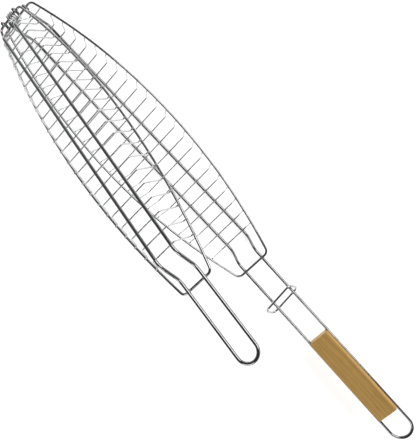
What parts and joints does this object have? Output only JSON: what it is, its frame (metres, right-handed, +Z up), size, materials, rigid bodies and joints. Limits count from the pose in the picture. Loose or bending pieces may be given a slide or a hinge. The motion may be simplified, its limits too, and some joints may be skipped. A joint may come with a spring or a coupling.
{
  "type": "hinged fish grill basket",
  "caption": "Leaf-shaped wire fish basket: two hinged trays, a long wood-gripped wire handle, a short handle and a sliding lock ring.",
  "frame": {"origin": "middle of the bounding box's bottom face, under the base tray, which lies flat on its two handle wires", "axes": "+X from the hinged nose to the hanging loop, +Y across the trays, +Z up, towards the cover"},
  "size_m": [0.6508, 0.1048, 0.1932],
  "materials": {
    "chrome_handle_wire": "bright nickel-chrome plating on drawn steel wire",
    "chrome_rim_wire": "bright nickel-chrome plating on drawn steel wire",
    "chrome_cross_wire": "bright nickel-chrome plating on thin drawn steel wire",
    "chrome_ring_wire": "bright nickel-chrome plating on bent steel wire",
    "chrome_coil_wire": "bright nickel-chrome plating on coiled steel wire",
    "wood": "oiled pale hardwood, straight lengthwise grain"
  },
  "bodies": {
    "base_tray": {"base_rim": "chrome_rim_wire", "base_handle_wire": "chrome_handle_wire", "base_cross_wire_01": "chrome_cross_wire", "base_cross_wire_02": "chrome_cross_wire", "base_cross_wire_03": "chrome_cross_wire", "base_cross_wire_04": "chrome_cross_wire", "base_cross_wire_05": "chrome_cross_wire", "base_cross_wire_06": "chrome_cross_wire", "base_cross_wire_07": "chrome_cross_wire", "base_cross_wire_08": "chrome_cross_wire", "base_cross_wire_09": "chrome_cross_wire", "base_cross_wire_10": "chrome_cross_wire", "base_cross_wire_11": "chrome_cross_wire", "base_cross_wire_12": "chrome_cross_wire", "base_cross_wire_13": "chrome_cross_wire", "base_cross_wire_14": "chrome_cross_wire", "base_cross_wire_15": "chrome_cross_wire", "base_cross_wire_16": "chrome_cross_wire", "base_cross_wire_17": "chrome_cross_wire", "base_cross_wire_18": "chrome_cross_wire", "base_cross_wire_19": "chrome_cross_wire", "base_cross_wire_20": "chrome_cross_wire", "base_cross_wire_21": "chrome_cross_wire", "base_cross_wire_22": "chrome_cross_wire", "base_cross_wire_23": "chrome_cross_wire", "wood_grip": "wood"},
    "hinge_coil": {"hinge_coil": "chrome_coil_wire"},
    "cover_tray": {"cover_rim": "chrome_rim_wire", "cover_handle_wire": "chrome_handle_wire", "cover_cross_wire_01": "chrome_cross_wire", "cover_cross_wire_02": "chrome_cross_wire", "cover_cross_wire_03": "chrome_cross_wire", "cover_cross_wire_04": "chrome_cross_wire", "cover_cross_wire_05": "chrome_cross_wire", "cover_cross_wire_06": "chrome_cross_wire", "cover_cross_wire_07": "chrome_cross_wire", "cover_cross_wire_08": "chrome_cross_wire", "cover_cross_wire_09": "chrome_cross_wire", "cover_cross_wire_10": "chrome_cross_wire", "cover_cross_wire_11": "chrome_cross_wire", "cover_cross_wire_12": "chrome_cross_wire", "cover_cross_wire_13": "chrome_cross_wire", "cover_cross_wire_14": "chrome_cross_wire", "cover_cross_wire_15": "chrome_cross_wire", "cover_cross_wire_16": "chrome_cross_wire", "cover_cross_wire_17": "chrome_cross_wire", "cover_cross_wire_18": "chrome_cross_wire", "cover_cross_wire_19": "chrome_cross_wire", "cover_cross_wire_20": "chrome_cross_wire", "cover_cross_wire_21": "chrome_cross_wire", "cover_cross_wire_22": "chrome_cross_wire"},
    "lock_ring": {"lock_ring": "chrome_ring_wire"}
  },
  "joints": [
    {"name": "coil_swing", "type": "hinge", "parent": "base_tray", "child": "hinge_coil", "pos_m": [-0.31634, 0, 0.02405], "axis": [0, -1, 0], "range_deg": [-10.05, 79.95]},
    {"name": "cover_open", "type": "hinge", "parent": "hinge_coil", "child": "cover_tray", "pos_m": [-0.31799, -0.0063, 0.0334], "axis": [0, -1, 0], "range_deg": [-10.05, 79.95]},
    {"name": "ring_slide", "type": "slide", "parent": "base_tray", "child": "lock_ring", "axis": [0.9971, 0, 0.0767], "range_m": [-0.003, 0.042]}
  ],
  "couplings": [
    {"joint": "coil_swing", "follows": "cover_open", "ratio": 1}
  ]
}
